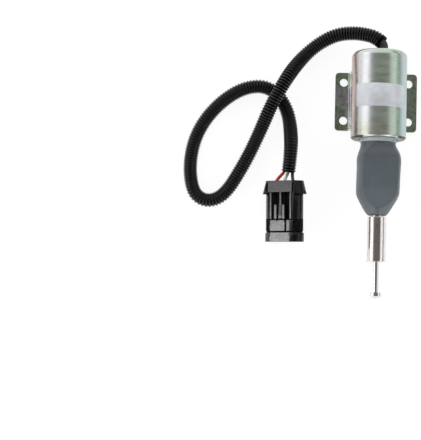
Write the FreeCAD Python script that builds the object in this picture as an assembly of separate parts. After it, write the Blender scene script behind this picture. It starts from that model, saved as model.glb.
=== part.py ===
import FreeCAD, Part
import math
import os

# Fuel shutoff solenoid with its corrugated lead and three way connector, in millimetres.
# The origin is the centre of the bracket's four bolt holes, on the face the bracket is bolted down by.
# +Y runs along the solenoid towards its lead, -Y towards its pull rod, and +Z is up off the base.

V = FreeCAD.Vector
X, Y, Z = V(1, 0, 0), V(0, 1, 0), V(0, 0, 1)

# Fits
slip_fit = 0.05          # a piece that drops into its seat
running_fit = 0.08       # a shaft that slides in its bore
air_gap = 0.3            # parts that pass each other without touching
edge_break = 0.3         # sharp turned edges are broken by this much
cut_past = 1.0           # how far a cutting shape runs past what it cuts
floor_gap = 0.05         # under the lead, where it lies on the base plane

# Can, drawn from sheet
can_radius = 22.225
can_wall = 1.6
can_length = 71.5
can_rear = 37.6          # rear face of the can from the bolt pattern's centre
can_rear_round = 5.0
can_front_round = 2.4
lip_radius = 15.6        # bore of the lip that is rolled over the front plate
lip_round = 0.6
rear_room = 8.0          # for the leads, between the rear plate and the can's rear wall

# Bracket, pressed from one sheet
sheet = 2.3
bracket_length = 47.8
foot_corner = 3.0
cradle_half_angle = 48.0
cradle_bend = 2.0        # middle of the sheet
foot_bend = 2.2
bolt_hole_radius = 3.3
hole_margin = 0.15       # from the foot's bend to the edge of a bolt hole
foot_margin = 3.6        # from the edge of a bolt hole to the side of the foot
hole_from_end = 8.15     # from a bolt hole's middle to the end of the bracket

# Magnet iron and coils
front_plate_thickness = 6.0
nose_radius = 12.2
nose_length = 7.2
nose_round = 0.8
rear_plate_thickness = 6.0
bobbin_wall = 1.2
flange_thickness = 1.6
bobbin_clearance = 0.6   # between the bobbin's flanges and the can
guide_tube_bore = 9.2
guide_tube_wall = 0.5
pull_share = 0.51        # of the room for wire that the pull winding takes
wrap_thickness = 0.4
winding_margin = 0.5     # between the wrap and the edge of the flanges
backstop_head = 1.2
backstop_head_radius = 11.0

# Plunger
plunger_radius = 7.95
plunger_head_radius = 8.9
plunger_head_length = 3.4
plunger_body_length = 54.0
cone_base_radius = 8.4
cone_tip_radius = 4.5
cone_length = 8.0
stroke = 25.4
seat_gap = 0.6           # left along the axis when the cone is pulled home
neck_radius = 4.6
neck_length = 16.1
neck_round = 1.0
stud_radius = 3.0
stud_length = 3.5
stud_round = 0.5

# Return spring
spring_hole_radius = 3.5
plunger_spring_depth = 15.4
backstop_back = 5.0      # iron left behind the spring's hole in the backstop
return_wire = 0.9
return_outer = 3.1
return_turns = 11

# Boot and its ring
ring_radius = 14.9
ring_length = 3.8
ring_round = 0.5
boot_wall = 1.8
boot_neck_ease = 0.6     # between the boot's round neck and the start of its flat sides
boot_flat = 11.0         # flat sides from the axis
boot_flat_start = 6.0    # from the ring, where the flat sides begin to sink in
boot_flat_full = 15.0    # from the ring, where they reach their full depth
boot_tip_radius = 6.1
boot_tip_gap = 1.0       # between the boot's tip and the sleeve

# Coupling sleeve, its spring and the pull rod
sleeve_radius = 7.7
sleeve_bore = 5.5
sleeve_length = 36.0
sleeve_floor = 4.0
sleeve_groove_depth = 0.35
sleeve_groove_width = 0.7
sleeve_groove_place = 2.2
sleeve_rear_round = 0.6
sleeve_front_round = 0.5
washer_thickness = 1.5
ring_thickness = 1.0
ring_bore = 4.1
ring_groove_depth = 0.6
ring_setback = 1.0       # from the sleeve's open end
ring_gap = 2.2
eye_radius = 0.95
eye_hole = 0.4
eye_place = 1.9          # from the middle of the ring's gap
rod_radius = 2.38
rod_length = 55.6
rod_head_radius = 4.75
rod_head_length = 5.3
rod_head_dome = 2.2
rod_end_gap = 0.5        # between the rod's inner end and the sleeve's floor
nut_setback = 0.4        # from the rod's inner end
nut_across_flats = 8.0
nut_length = 3.0
nut_flange = 1.0
overtravel_wire = 1.2
overtravel_outer = 5.1
overtravel_turns = 5

# Label
label_thickness = 0.12
label_rear = 9.0
label_length = 18.6
label_half_angle = 60.0

# Lead exit at the rear of the can
exit_x = 2.3
exit_hole_radius = 5.4
grommet_flange = 0.8
grommet_flange_radius = 6.3
lead_sleeve_radius = 4.3
lead_radius = 1.3
lead_slot_width = 9.0
lead_slot_depth = 4.0
lead_pitch = 2.8
lead_cluster = 1.9       # from the middle of the exit to each lead's own middle
lead_turn = 4.1          # from the can's rear wall, where the leads turn to the exit

# Corrugated conduit
conduit_radius = 5.4

# Connector: its own frame has u across, v through its thickness and w towards the mouth
connector_at = (-73.9, -67.9)
connector_roll = 32.0
connector_pitch = 3.2
connector_yaw = 1.2
rim_width = 33.4
rim_thickness = 16.5
rim_wall = 1.7
rim_start = 42.0
mouth = 49.2
shroud_step = 0.6        # the shroud is this much slimmer than its rim all round
shroud_start = 31.2
shroud_groove = 0.45
shroud_groove_width = 1.4
pad_height = 0.35        # raised pads on the shroud's upper broad side
pad_margin = 0.6         # from a pad to the shroud's rear edge
pad_spans = ((-9.3, 4.4), (6.1, 11.4))
end_wall = 1.1           # curved walls round the two ends, between the lock and the shroud
end_wall_half_angle = 72.0
cavity_floor = 34.0
terminal_pitch = 9.1
tower_radius = 6.2
tower_start = 2.4
tower_hole = 2.3
tower_web = 8.4          # thickness of the web that joins the three towers
blade_slot_start = 30.0
rib_top = 7.2
rib_width = 1.4
rib_root = 1.0           # how deep a rib stands in the tower
rail_start = 19.6
rail_end = 33.0
rail_offset = 3.6
rail_width = 2.0
rail_root = 3.5
rail_top = 9.0
ramp_end = 30.4
ramp_width = 2.6
ramp_top = 7.9
ramp_flat = 2.4
key_width = 2.2
key_height = 3.2
key_offset = 0.4         # from the blade's middle
key_setback = 3.0        # behind the blades' tips
lock_plate = 2.2
lock_inset = 1.0         # the lock is this much narrower than the rim
lock_wall = 1.6
lock_panel_width = 21.9
lock_panel_length = 9.3
wing_length = 10.8
wing_flare = 2.6
wing_wall = 1.2
wing_half_angle = 58.0
wing_notch_width = 2.2
wing_notch_depth = 2.6
wire_hole_radius = 1.9
wire_radius = 1.3
wire_lift = 2.2          # straight out of the conduit
wire_gather = 2.4        # straight into the lock
wire_grip = 3.0          # inside its terminal
seal_radius = 2.9
seal_start = 3.0
seal_length = 9.0
seal_ridge = 0.35
seal_ridges = 3
blade_width = 3.4
blade_thickness = 0.8
blade_tip = 44.0
blade_chamfer = 1.2
slot_gap = 0.2           # round a blade in the floor of the cavity
barrel_radius = 1.9
barrel_start = 13.0
barrel_end = 26.0

# Places along the axis that follow from the sizes above
axis_z = can_radius + sheet
cradle = can_radius + sheet / 2
cradle_lean = math.radians(cradle_half_angle)
web_x = (cradle + cradle_bend) * math.sin(cradle_lean) + cradle_bend
bolt_x = web_x + foot_bend + hole_margin + bolt_hole_radius
bolt_y = bracket_length / 2 - hole_from_end
foot_reach = bolt_x + bolt_hole_radius + foot_margin
can_front = can_rear - can_length
plate_front = can_front + can_wall
plate_rear = plate_front + front_plate_thickness
nose_front = plate_front - nose_length
ring_front = plate_front - ring_length
rear_plate_rear = can_rear - can_wall - rear_room
rear_plate_front = rear_plate_rear - rear_plate_thickness
head_front = plate_rear + air_gap
cone_base = head_front + plunger_head_length
cone_tip = cone_base + cone_length
backstop_mouth = cone_base + stroke + seat_gap
socket_floor = backstop_mouth + cone_length
backstop_rear = rear_plate_rear + backstop_head
backstop_spring_floor = backstop_rear - backstop_back
body_end = head_front - plunger_body_length
sleeve_rear = body_end - neck_length
sleeve_front = sleeve_rear - sleeve_length
sleeve_floor_front = sleeve_rear - sleeve_floor
ring_face = sleeve_front + ring_setback + ring_thickness
washer_rear = ring_face + washer_thickness + slip_fit
rod_rear = sleeve_floor_front - rod_end_gap
rod_front = rod_rear - rod_length
nut_rear = rod_rear - nut_setback
nut_front = nut_rear - nut_length
exit_point = V(exit_x, can_rear, axis_z)
lead_foot = can_rear - can_wall - grommet_flange

plate_radius = can_radius - can_wall - slip_fit
guide_tube_radius = guide_tube_bore + guide_tube_wall
bobbin_bore = guide_tube_radius + slip_fit
bobbin_core = bobbin_bore + bobbin_wall
flange_radius = can_radius - can_wall - bobbin_clearance
hold_outer = flange_radius - winding_margin - wrap_thickness
pull_outer = bobbin_core + pull_share * (hold_outer - bobbin_core)
coil_front = plate_rear + flange_thickness
coil_rear = rear_plate_front - flange_thickness
lead_slot_place = (bobbin_core + flange_radius) / 2


# Where the end walls and the ribs clear the lock, along the connector's own w
wing_clear = wing_length * (wing_wall - shroud_step + air_gap + lock_inset / 2) / wing_flare
ribs_start = lock_panel_length + air_gap
end_wall_start = max(wing_clear, ribs_start)


def connector_axes():
    """Directions of the connector's own u, v and w: w towards its mouth, u raised to the right."""
    roll, pitch, yaw = (math.radians(a) for a in (connector_roll, connector_pitch, connector_yaw))
    w = V(math.sin(yaw) * math.cos(pitch), -math.cos(yaw) * math.cos(pitch), -math.sin(pitch))
    v = w.cross(V(math.cos(roll), 0, math.sin(roll))).normalize()
    return v.cross(w), v, w


def connector_rest():
    """Height of the connector's middle when the lower of its rim and its lock's wing lies on the base."""
    u, v, w = connector_axes()
    tilt = math.sqrt(1 - w.z ** 2)
    rim = (rim_width - rim_thickness) / 2 * u.z + rim_thickness / 2 * tilt - mouth * w.z
    wing_centre = (rim_width - lock_inset - rim_thickness) / 2
    wing_edge = wing_centre * u.z + (rim_thickness / 2 + wing_flare) * tilt - wing_length * w.z
    return max(rim, wing_edge) + floor_gap


connector_place = V(connector_at[0], connector_at[1], connector_rest())

# The conduit's middle line, from the solenoid to the connector
lying = conduit_radius + floor_gap
conduit_route = [
    exit_point + V(-2.95, 7.4, 0), exit_point + V(-10.9, 11.6, 0), exit_point + V(-22.3, 16.4, -3.525),
    V(-34.0, 53.5, 15.5), V(-47.0, 47.2, 9.5), V(-58.0, 38.0, 6.6), V(-67.6, 26.6, 9.5),
    V(-75.0, 14.6, 17.4), V(-86.0, -5.6, 17.4), V(-94.4, -26.5, 9.0), V(-103.4, -47.0, lying),
    V(-113.0, -65.0, lying), V(-119.6, -75.6, lying), V(-127.3, -83.2, lying), V(-137.1, -85.7, lying),
    V(-146.0, -81.1, lying), V(-150.2, -70.8, lying), V(-151.6, -54.0, lying), V(-148.3, -34.5, lying),
    V(-138.6, -16.0, lying), V(-124.0, -0.6, lying), V(-107.5, 9.4, lying), V(-91.0, 11.0, lying),
    V(-79.0, 2.6, lying), V(-71.7, -10.5, lying), V(-69.2, -26.5, lying + 0.15),
    connector_place + V(5.0, 24.4, -5.8), connector_place + V(3.6, 8.6, 0),
]


# Outlines

def corner_points(before, corner, after, radius):
    """Start, middle and end of the arc that rounds a corner of an outline."""
    a, b = (before - corner).normalize(), (after - corner).normalize()
    half = a.getAngle(b) / 2
    reach = radius / math.tan(half)
    middle = (a + b).normalize() * (radius / math.sin(half) - radius)
    return corner + a * reach, corner + middle, corner + b * reach


def rounded_outline(corners):
    """Closed wire through (point, radius) corners, each rounded by its own radius."""
    stops = []
    for i, (corner, radius) in enumerate(corners):
        if radius > 0:
            before, after = corners[i - 1][0], corners[(i + 1) % len(corners)][0]
            stops.append(corner_points(before, corner, after, radius))
        else:
            stops.append((corner, None, corner))
    edges = []
    for i, (start, middle, end) in enumerate(stops):
        if middle:
            edges.append(Part.Arc(start, middle, end).toShape())
        next_start = stops[(i + 1) % len(stops)][0]
        if (next_start - end).Length > 1e-6:
            edges.append(Part.LineSegment(end, next_start).toShape())
    return Part.Wire(edges)


def turned(profile, at=V(0, 0, axis_z)):
    """Solid turned about the line along Y through a point, from (radius, y, corner radius) points."""
    corners = [(V(at.x, y, at.z + r), fillet) for r, y, fillet in profile]
    return Part.Face(rounded_outline(corners)).revolve(at, Y, 360)


def ring(inner, outer, y0, y1):
    """Plain ring about the solenoid's axis between two places along it."""
    return turned([(inner, y0, 0), (outer, y0, 0), (outer, y1, 0), (inner, y1, 0)])


def rod(radius, y0, y1, at=V(0, 0, axis_z)):
    """Plain round bar along Y between two places."""
    low, high = min(y0, y1), max(y0, y1)
    return Part.makeCylinder(radius, high - low, V(at.x, low, at.z), Y)


def sheet_band(start, heading, moves):
    """Outline of a bent sheet in the XZ plane, from its middle line's straights and (radius, turn) bends."""
    half = sheet / 2
    left, right = [], []
    point, angle = start, math.radians(heading)

    def offsets(place, way):
        side = V(-math.sin(way), 0, math.cos(way)) * half
        return place + side, place - side

    for move in moves:
        a_left, a_right = offsets(point, angle)
        if isinstance(move, tuple):
            radius, turn = move[0], math.radians(move[1])
            side = 1 if turn > 0 else -1
            centre = point + V(-math.sin(angle), 0, math.cos(angle)) * (radius * side)
            spoke = point - centre
            half_way, angle_mid = turn / 2, angle + turn / 2
            middle = centre + V(spoke.x * math.cos(half_way) - spoke.z * math.sin(half_way), 0,
                                spoke.x * math.sin(half_way) + spoke.z * math.cos(half_way))
            point = centre + V(spoke.x * math.cos(turn) - spoke.z * math.sin(turn), 0,
                               spoke.x * math.sin(turn) + spoke.z * math.cos(turn))
            angle += turn
            m_left, m_right = offsets(middle, angle_mid)
            b_left, b_right = offsets(point, angle)
            left.append(Part.Arc(a_left, m_left, b_left).toShape())
            right.append(Part.Arc(a_right, m_right, b_right).toShape())
        else:
            point = point + V(math.cos(angle), 0, math.sin(angle)) * move
            b_left, b_right = offsets(point, angle)
            left.append(Part.LineSegment(a_left, b_left).toShape())
            right.append(Part.LineSegment(a_right, b_right).toShape())
    first = Part.LineSegment(right[0].firstVertex().Point, left[0].firstVertex().Point).toShape()
    last_left = offsets(point, angle)[0]
    last_right = offsets(point, angle)[1]
    last = Part.LineSegment(last_left, last_right).toShape()
    return Part.Wire(Part.__sortEdges__([first] + left + [last] + right))


def cord_path(points, share=0.45):
    """Straight runs joined by tangent arcs, each as large as its two runs allow, and its arc radii."""
    edges, radii = [], []
    here = points[0]
    for before, corner, after in zip(points, points[1:], points[2:]):
        a, b = before - corner, after - corner
        reach = share * min(a.Length, b.Length)
        half = a.getAngle(b) / 2
        radius = reach * math.tan(half)
        start, middle, end = corner_points(before, corner, after, radius)
        edges.append(Part.LineSegment(here, start).toShape())
        edges.append(Part.Arc(start, middle, end).toShape())
        radii.append(radius)
        here = end
    edges.append(Part.LineSegment(here, points[-1]).toShape())
    return Part.Wire(edges), radii


def cord(points, radius, share=0.45):
    """Round cord along a route, with the radii of its arcs."""
    path, radii = cord_path(points, share)
    section = Part.Wire(Part.makeCircle(radius, points[0], points[1] - points[0]))
    return path.makePipeShell([section], True, True), path, radii


def spring(wire, outer, turns, y0, y1):
    """Round wire spring about the solenoid's axis that fits between two places along it."""
    radius = outer - wire / 2
    height = y1 - y0 - wire
    helix = Part.makeHelix(height / turns, height, radius)
    section = Part.Wire(Part.makeCircle(wire / 2, V(radius, 0, 0), Y))
    coil = Part.Wire(helix).makePipeShell([section], True, True)
    coil.rotate(V(0, 0, 0), X, -90)
    coil.translate(V(0, y0 + wire / 2, axis_z))
    return coil


# Can and bracket

def housing_can():
    inner = can_radius - can_wall
    shell = turned([
        (0, can_rear, 0), (can_radius, can_rear, can_rear_round),
        (can_radius, can_front, can_front_round), (lip_radius, can_front, lip_round),
        (lip_radius, plate_front, 0), (inner, plate_front, 0),
        (inner, can_rear - can_wall, can_rear_round - can_wall), (0, can_rear - can_wall, 0)])
    return shell.cut(rod(exit_hole_radius, can_rear - 2 * can_wall, can_rear + cut_past, exit_point))


def mounting_bracket():
    web_top = axis_z - (cradle + cradle_bend) * math.cos(cradle_lean)
    web_height = web_top - sheet / 2 - foot_bend
    foot = foot_reach - web_x - foot_bend
    fold_out = 90 + cradle_half_angle
    moves = [foot, (foot_bend, 90), web_height, (cradle_bend, -fold_out), (cradle, 2 * cradle_half_angle),
             (cradle_bend, -fold_out), web_height, (foot_bend, 90), foot]
    band = sheet_band(V(-foot_reach, 0, sheet / 2), 0, moves)
    bracket = Part.Face(band).extrude(Y * bracket_length)
    bracket.translate(Y * (-bracket_length / 2))
    corners = [e for e in bracket.Edges
               if abs(abs(e.CenterOfMass.x) - foot_reach) < 1e-3 and abs(e.Length - sheet) < 1e-3
               and abs(e.CenterOfMass.z - sheet / 2) < 1e-3]
    bracket = bracket.makeFillet(foot_corner, corners)
    for x in (-bolt_x, bolt_x):
        for y in (-bolt_y, bolt_y):
            bracket = bracket.cut(Part.makeCylinder(bolt_hole_radius, 2 * sheet, V(x, y, -sheet / 2), Z))
    return bracket


def label():
    outer = can_radius + label_thickness
    band = ring(can_radius, outer, label_rear - label_length, label_rear)
    reach = 2 * outer
    spread = math.radians(label_half_angle)
    apex = V(0, label_rear - label_length - cut_past, axis_z)
    side = V(reach * math.sin(spread), 0, reach * math.cos(spread))
    wedge = Part.makePolygon([apex, apex + side, apex + Z * (3 * reach), apex + V(-side.x, 0, side.z), apex])
    return band.common(Part.Face(wedge).extrude(Y * (label_length + 2 * cut_past)))


# Magnet iron and coils

def front_plate():
    return turned([
        (plunger_radius + running_fit, nose_front, 0), (nose_radius, nose_front, nose_round),
        (nose_radius, plate_front, 0), (plate_radius, plate_front, 0), (plate_radius, plate_rear, 0),
        (plunger_radius + running_fit, plate_rear, 0)])


def lead_slot(y0, y1):
    """Notch on the +X side that lets the coil leads through."""
    return Part.makeBox(lead_slot_depth, y1 - y0, lead_slot_width,
                        V(lead_slot_place - lead_slot_depth / 2, y0, axis_z - lead_slot_width / 2))


def rear_plate():
    plate = ring(guide_tube_bore, plate_radius, rear_plate_front, rear_plate_rear)
    return plate.cut(lead_slot(rear_plate_front - cut_past, rear_plate_rear + cut_past))


def backstop():
    radius = guide_tube_bore - slip_fit
    return turned([
        (0, backstop_spring_floor, 0), (spring_hole_radius, backstop_spring_floor, 0),
        (spring_hole_radius, socket_floor, 0),
        (cone_tip_radius, socket_floor, 0), (cone_base_radius, backstop_mouth, 0),
        (radius, backstop_mouth, 0), (radius, rear_plate_rear, 0),
        (backstop_head_radius, rear_plate_rear, 0), (backstop_head_radius, backstop_rear, edge_break),
        (0, backstop_rear, 0)])


def guide_tube():
    return ring(guide_tube_bore, guide_tube_radius, plate_rear, rear_plate_front)


def bobbin():
    front, rear = plate_rear, rear_plate_front
    spool = turned([
        (bobbin_bore, front, 0), (flange_radius, front, 0), (flange_radius, front + flange_thickness, 0),
        (bobbin_core, front + flange_thickness, 0), (bobbin_core, rear - flange_thickness, 0),
        (flange_radius, rear - flange_thickness, 0), (flange_radius, rear, 0), (bobbin_bore, rear, 0)])
    return spool.cut(lead_slot(rear - flange_thickness - edge_break, rear + cut_past))


def pull_winding():
    return ring(bobbin_core, pull_outer, coil_front, coil_rear)


def hold_winding():
    return ring(pull_outer, hold_outer, coil_front, coil_rear)


def coil_wrap():
    return ring(hold_outer, hold_outer + wrap_thickness, coil_front, coil_rear)


def coil_leads():
    """The three leads from the coils to the sleeve in the can's rear wall."""
    leads = []
    turn_y = can_rear - can_wall - lead_turn
    for side in (-1, 0, 1):
        spread = math.radians(90 * side)
        start = V(lead_slot_place, coil_rear, axis_z + side * lead_pitch)
        over = V(start.x, turn_y, start.z)
        end = V(exit_x + lead_cluster * math.cos(spread), lead_foot, axis_z + lead_cluster * math.sin(spread))
        leads.append(cord([start, over, V(end.x, turn_y, end.z), end], lead_radius)[0])
    return Part.makeCompound(leads)


# Lead exit

def wire_grommet():
    wall_inside = can_rear - can_wall
    bore = lead_sleeve_radius
    return turned([
        (bore, can_rear + grommet_flange, 0), (grommet_flange_radius, can_rear + grommet_flange, edge_break),
        (grommet_flange_radius, can_rear, 0), (exit_hole_radius, can_rear, 0),
        (exit_hole_radius, wall_inside, 0), (grommet_flange_radius, wall_inside, 0),
        (grommet_flange_radius, lead_foot, edge_break), (bore, lead_foot, 0)],
        exit_point)


def lead_sleeve():
    """Shrunk sleeve that turns from the can's rear wall into the end of the conduit."""
    start, onward = conduit_route[0], conduit_route[1]
    way = (onward - start).normalize()
    corner = start - way * ((start.x - exit_x) / way.x)
    foot = V(exit_x, lead_foot, corner.z)
    reach = (start - corner).Length - slip_fit
    share = reach / min((corner - foot).Length, (start - corner).Length)
    return cord([foot, corner, start], lead_sleeve_radius, share)[0]


# Plunger, its spring and boot

def plunger():
    spring_floor = cone_tip - plunger_spring_depth
    return turned([
        (0, spring_floor, 0), (spring_hole_radius, spring_floor, 0), (spring_hole_radius, cone_tip, 0),
        (cone_tip_radius, cone_tip, 0), (cone_base_radius, cone_base, 0),
        (plunger_head_radius, cone_base, edge_break), (plunger_head_radius, head_front, edge_break),
        (plunger_radius, head_front, 0), (plunger_radius, body_end, neck_round),
        (neck_radius, body_end, neck_round),
        (neck_radius, sleeve_rear, 0), (stud_radius, sleeve_rear, 0),
        (stud_radius, sleeve_rear - stud_length, stud_round), (0, sleeve_rear - stud_length, 0)])


def return_spring():
    return spring(return_wire, return_outer, return_turns,
                  cone_tip - plunger_spring_depth + slip_fit, backstop_spring_floor - slip_fit)


def boot_ring():
    return turned([
        (nose_radius + slip_fit, plate_front, 0), (ring_radius, plate_front, 0),
        (ring_radius, ring_front, ring_round), (nose_radius + slip_fit, ring_front, 0)])


# Outside of the boot: radius at a distance in front of the ring, up to the round of its tip
boot_shape = [(0.0, 13.65), (11.9, 17.8), (38.2, 17.5), (42.3, 16.8), (46.3, 15.5), (50.3, 13.5),
              (54.3, 11.1), (57.2, 9.2)]


def boot_radius(distance):
    """Outer radius of the boot at a distance in front of the ring."""
    for (d0, r0), (d1, r1) in zip(boot_shape, boot_shape[1:]):
        if distance <= d1:
            return r0 + (r1 - r0) * (distance - d0) / (d1 - d0)
    return boot_shape[-1][1]


def boot_body(inset, y_start, y_end, tip_radius):
    """Round body of the boot between its flat sides, grown inwards by an inset."""
    outline = [(0, y_start, 0), (boot_radius(ring_front - y_start) - inset, y_start, 0)]
    for distance, radius in boot_shape:
        if y_end < ring_front - distance < y_start:
            outline.append((radius - inset, ring_front - distance, 0))
    outline += [(tip_radius, y_end, 0), (0, y_end, 0)]
    return turned(outline).common(boot_slab(inset))


def boot_slab(inset):
    """Space between the boot's two flat sides, which slope in from its round neck."""
    neck = nose_radius + boot_wall + boot_neck_ease
    stations = [(ring_front + cut_past, 2 * neck), (ring_front - boot_flat_start, neck - inset),
                (ring_front - boot_flat_full, boot_flat - inset), (sleeve_rear, boot_flat - inset)]
    upper = [V(-2 * can_radius, y, axis_z + h) for y, h in stations]
    lower = [V(-2 * can_radius, y, axis_z - h) for y, h in reversed(stations)]
    return Part.Face(Part.makePolygon(upper + lower + upper[:1])).extrude(X * (4 * can_radius))


def boot():
    tip = sleeve_rear + boot_tip_gap
    outside = boot_body(0, ring_front, tip, boot_tip_radius)
    inside = boot_body(boot_wall, nose_front, tip + boot_wall, neck_radius + boot_wall)
    seat = rod(nose_radius + slip_fit, ring_front + cut_past, nose_front)
    hole = rod(neck_radius + air_gap, tip - cut_past, tip + 2 * boot_wall)
    return outside.cut(inside).cut(seat).cut(hole)


# Coupling sleeve and pull rod

def coupling_sleeve():
    ring_seat = sleeve_front + ring_setback
    groove = sleeve_rear - sleeve_groove_place
    return turned([
        (stud_radius + slip_fit, sleeve_rear, 0), (sleeve_radius, sleeve_rear, sleeve_rear_round),
        (sleeve_radius, groove, 0), (sleeve_radius - sleeve_groove_depth, groove, 0),
        (sleeve_radius - sleeve_groove_depth, groove - sleeve_groove_width, 0),
        (sleeve_radius, groove - sleeve_groove_width, 0),
        (sleeve_radius, sleeve_front, sleeve_front_round), (sleeve_bore, sleeve_front, edge_break),
        (sleeve_bore, ring_seat - slip_fit, 0), (sleeve_bore + ring_groove_depth, ring_seat - slip_fit, 0),
        (sleeve_bore + ring_groove_depth, ring_seat + ring_thickness, 0),
        (sleeve_bore, ring_seat + ring_thickness, 0),
        (sleeve_bore, sleeve_floor_front, 0), (stud_radius + slip_fit, sleeve_floor_front, 0)])


def retaining_ring():
    """Split ring in the sleeve's groove, with its two eyes at the gap."""
    outer = sleeve_bore + ring_groove_depth - slip_fit
    y0 = sleeve_front + ring_setback
    y1 = y0 + ring_thickness
    corner = V(-ring_gap / 2, y0 - cut_past, axis_z)
    gap = Part.makeBox(ring_gap, ring_thickness + 2 * cut_past, 2 * outer, corner)
    body = ring(ring_bore, outer, y0, y1).cut(gap)
    for side in (-1, 1):
        eye = V(side * eye_place, 0, axis_z + ring_bore + eye_hole)
        body = body.fuse(rod(eye_radius, y0, y1, eye)).cut(rod(eye_hole, y0 - cut_past, y1 + cut_past, eye))
    return body.removeSplitter()


def sleeve_washer():
    return ring(rod_radius + running_fit, sleeve_bore - slip_fit, ring_face + slip_fit / 2, washer_rear)


def overtravel_spring():
    return spring(overtravel_wire, overtravel_outer, overtravel_turns,
                  washer_rear + slip_fit, nut_front - slip_fit)


def link_rod():
    """Pull rod with its upset head, flat on the rod's side and domed outside."""
    tip = rod_front - rod_head_length
    side_end = tip + rod_head_dome
    dome = (rod_head_radius ** 2 + rod_head_dome ** 2) / (2 * rod_head_dome)
    half_way = math.asin(rod_head_radius / dome) / 2
    corners = [(0, rod_rear), (rod_radius - edge_break, rod_rear), (rod_radius, rod_rear - edge_break),
               (rod_radius, rod_front), (rod_head_radius - edge_break, rod_front),
               (rod_head_radius, rod_front - edge_break), (rod_head_radius, side_end)]
    points = [V(0, y, axis_z + r) for r, y in corners]
    crown = V(0, tip + dome * (1 - math.cos(half_way)), axis_z + dome * math.sin(half_way))
    end = V(0, tip, axis_z)
    edges = [Part.LineSegment(a, b).toShape() for a, b in zip(points, points[1:])]
    edges.append(Part.Arc(points[-1], crown, end).toShape())
    edges.append(Part.LineSegment(end, points[0]).toShape())
    return Part.Face(Part.Wire(edges)).revolve(V(0, 0, axis_z), Y, 360)


def rod_nut():
    corner = nut_across_flats / math.sqrt(3)
    points = [V(corner * math.cos(math.radians(60 * i)), 0, corner * math.sin(math.radians(60 * i)))
              for i in range(7)]
    hexagon = Part.Face(Part.makePolygon(points)).extrude(Y * nut_length)
    hexagon.translate(V(0, nut_front, axis_z))
    flange = rod(sleeve_bore - air_gap, nut_front, nut_front + nut_flange)
    bore = rod(rod_radius, nut_front - cut_past, nut_rear + cut_past)
    return hexagon.fuse(flange).cut(bore).removeSplitter()


# Connector, made in its own frame and then laid in place

def lay_connector(shape):
    """Turn a shape from the connector's own frame into place."""
    u, v, w = connector_axes()
    at = connector_place
    matrix = FreeCAD.Matrix(u.x, v.x, w.x, at.x, u.y, v.y, w.y, at.y, u.z, v.z, w.z, at.z, 0, 0, 0, 1)
    shape.transformShape(matrix, True)
    return shape


def connector_point(u, v, w):
    """Place in the part of a point in the connector's own frame."""
    return lay_connector(Part.Vertex(u, v, w)).Point


def oval(width, thickness, w0, w1):
    """Flat sided oval bar along w."""
    radius = thickness / 2
    centre = width / 2 - radius
    middle = Part.makeBox(2 * centre, thickness, w1 - w0, V(-centre, -radius, w0))
    ends = [Part.makeCylinder(radius, w1 - w0, V(side * centre, 0, w0), Z) for side in (-1, 1)]
    return middle.fuse(ends).removeSplitter()


def bar(u0, u1, v0, v1, w0, w1):
    return Part.makeBox(u1 - u0, v1 - v0, w1 - w0, V(u0, v0, w0))


def terminal_places():
    return [(i - 1) * terminal_pitch for i in range(3)]


def inset_oval(inset, w0, w1):
    """The rim's outline, drawn in by an inset all round."""
    return oval(rim_width - 2 * inset, rim_thickness - 2 * inset, w0, w1)


def shroud():
    """Rim, groove, shroud and its raised pads, hollowed by the cavity that takes the mating plug."""
    step = rim_start - shroud_groove_width
    body = inset_oval(0, rim_start, mouth)
    body = body.fuse(inset_oval(shroud_step + shroud_groove, step, rim_start))
    body = body.fuse(inset_oval(shroud_step, shroud_start, step))
    raised = inset_oval(shroud_step - pad_height, shroud_start + pad_margin, step)
    for u0, u1 in pad_spans:
        body = body.fuse(raised.common(bar(u0, u1, 0, rim_thickness, shroud_start, step)))
    return body.cut(inset_oval(rim_wall, cavity_floor, mouth + cut_past))


def end_wall_shell(side):
    """Curved wall round one end, in line with the shroud behind it."""
    outer = rim_thickness / 2 - shroud_step
    profile = [V(outer - end_wall, 0, end_wall_start), V(outer, 0, end_wall_start),
               V(outer, 0, shroud_start + cut_past), V(outer - end_wall, 0, shroud_start + cut_past)]
    section = Part.Face(Part.makePolygon(profile + profile[:1]))
    section.rotate(V(0, 0, 0), Z, -end_wall_half_angle)
    shell = section.revolve(V(0, 0, 0), Z, 2 * end_wall_half_angle)
    if side < 0:
        shell.rotate(V(0, 0, 0), Z, 180)
    shell.translate(X * (side * (rim_width - rim_thickness) / 2))
    return shell


def connector_housing():
    body = shroud()
    for u in terminal_places():
        body = body.fuse(Part.makeCylinder(tower_radius, cavity_floor - tower_start, V(u, 0, tower_start), Z))
    half_web = tower_web / 2
    body = body.fuse(bar(-terminal_pitch, terminal_pitch, -half_web, half_web, tower_start, shroud_start))
    body = body.fuse([end_wall_shell(side) for side in (-1, 1)] + latch_ribs())
    for u in terminal_places():
        body = body.fuse(key_block(u)).cut(terminal_bore(u))
    return lay_connector(body.removeSplitter())


def terminal_bore(u):
    """Bores for one wire's seal and terminal, and the slot that its blade passes."""
    seal_end = seal_start + seal_length + slot_gap
    seal_bore = Part.makeCylinder(seal_radius + slip_fit, seal_end, V(u, 0, 0), Z)
    barrel_bore = Part.makeCylinder(tower_hole, blade_slot_start - tower_start, V(u, 0, tower_start), Z)
    half_width = blade_width / 2 + slot_gap
    half_thickness = blade_thickness / 2 + slot_gap
    slot = bar(u - half_width, u + half_width, -half_thickness, half_thickness,
               blade_slot_start - cut_past, cavity_floor + cut_past)
    return seal_bore.fuse([barrel_bore, slot])


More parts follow.
